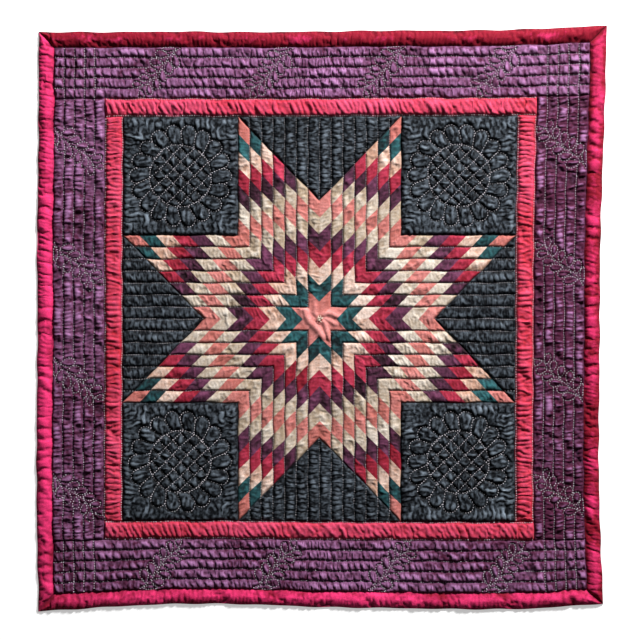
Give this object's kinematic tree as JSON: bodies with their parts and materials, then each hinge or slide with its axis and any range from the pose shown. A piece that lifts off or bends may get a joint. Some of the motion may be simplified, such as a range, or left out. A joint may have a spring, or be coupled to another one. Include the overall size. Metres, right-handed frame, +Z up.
{
  "type": "star quilt",
  "caption": "Flat wall or crib quilt with a pieced eight-pointed star, feather wreaths in the corners, a narrow and a wide quilted border and a mitred binding.",
  "frame": {"origin": "under the middle of the quilt's outline, on the surface that it lies on", "axes": "+Z up through the cloth to the quilted face, +Y towards the quilt's top edge, +X to its right-hand edge"},
  "size_m": [1.083, 1.112, 0.0085],
  "materials": {
    "pieced_star": "pieced cotton in salmon, teal, peach, crimson, plum and cream",
    "navy_cotton": "blue-black cotton with a soft mottle",
    "rose_cotton": "rose red cotton",
    "purple_cotton": "dusty purple cotton",
    "binding_cotton": "crimson pink cotton, folded over the edge",
    "cream_thread": "cream cotton thread"
  },
  "bodies": {
    "root": {"star_point_1": "pieced_star", "star_point_2": "pieced_star", "star_point_3": "pieced_star", "star_point_4": "pieced_star", "star_point_5": "pieced_star", "star_point_6": "pieced_star", "star_point_7": "pieced_star", "star_point_8": "pieced_star", "corner_square_1": "navy_cotton", "corner_square_2": "navy_cotton", "corner_square_3": "navy_cotton", "corner_square_4": "navy_cotton", "setting_triangle_1": "navy_cotton", "setting_triangle_2": "navy_cotton", "setting_triangle_3": "navy_cotton", "setting_triangle_4": "navy_cotton", "inner_border_right": "rose_cotton", "inner_border_top": "rose_cotton", "inner_border_left": "rose_cotton", "inner_border_bottom": "rose_cotton", "outer_border_right": "purple_cotton", "outer_border_top": "purple_cotton", "outer_border_left": "purple_cotton", "outer_border_bottom": "purple_cotton", "binding_right": "binding_cotton", "binding_top": "binding_cotton", "binding_left": "binding_cotton", "binding_bottom": "binding_cotton", "centre_tie": "cream_thread"}
  },
  "joints": []
}
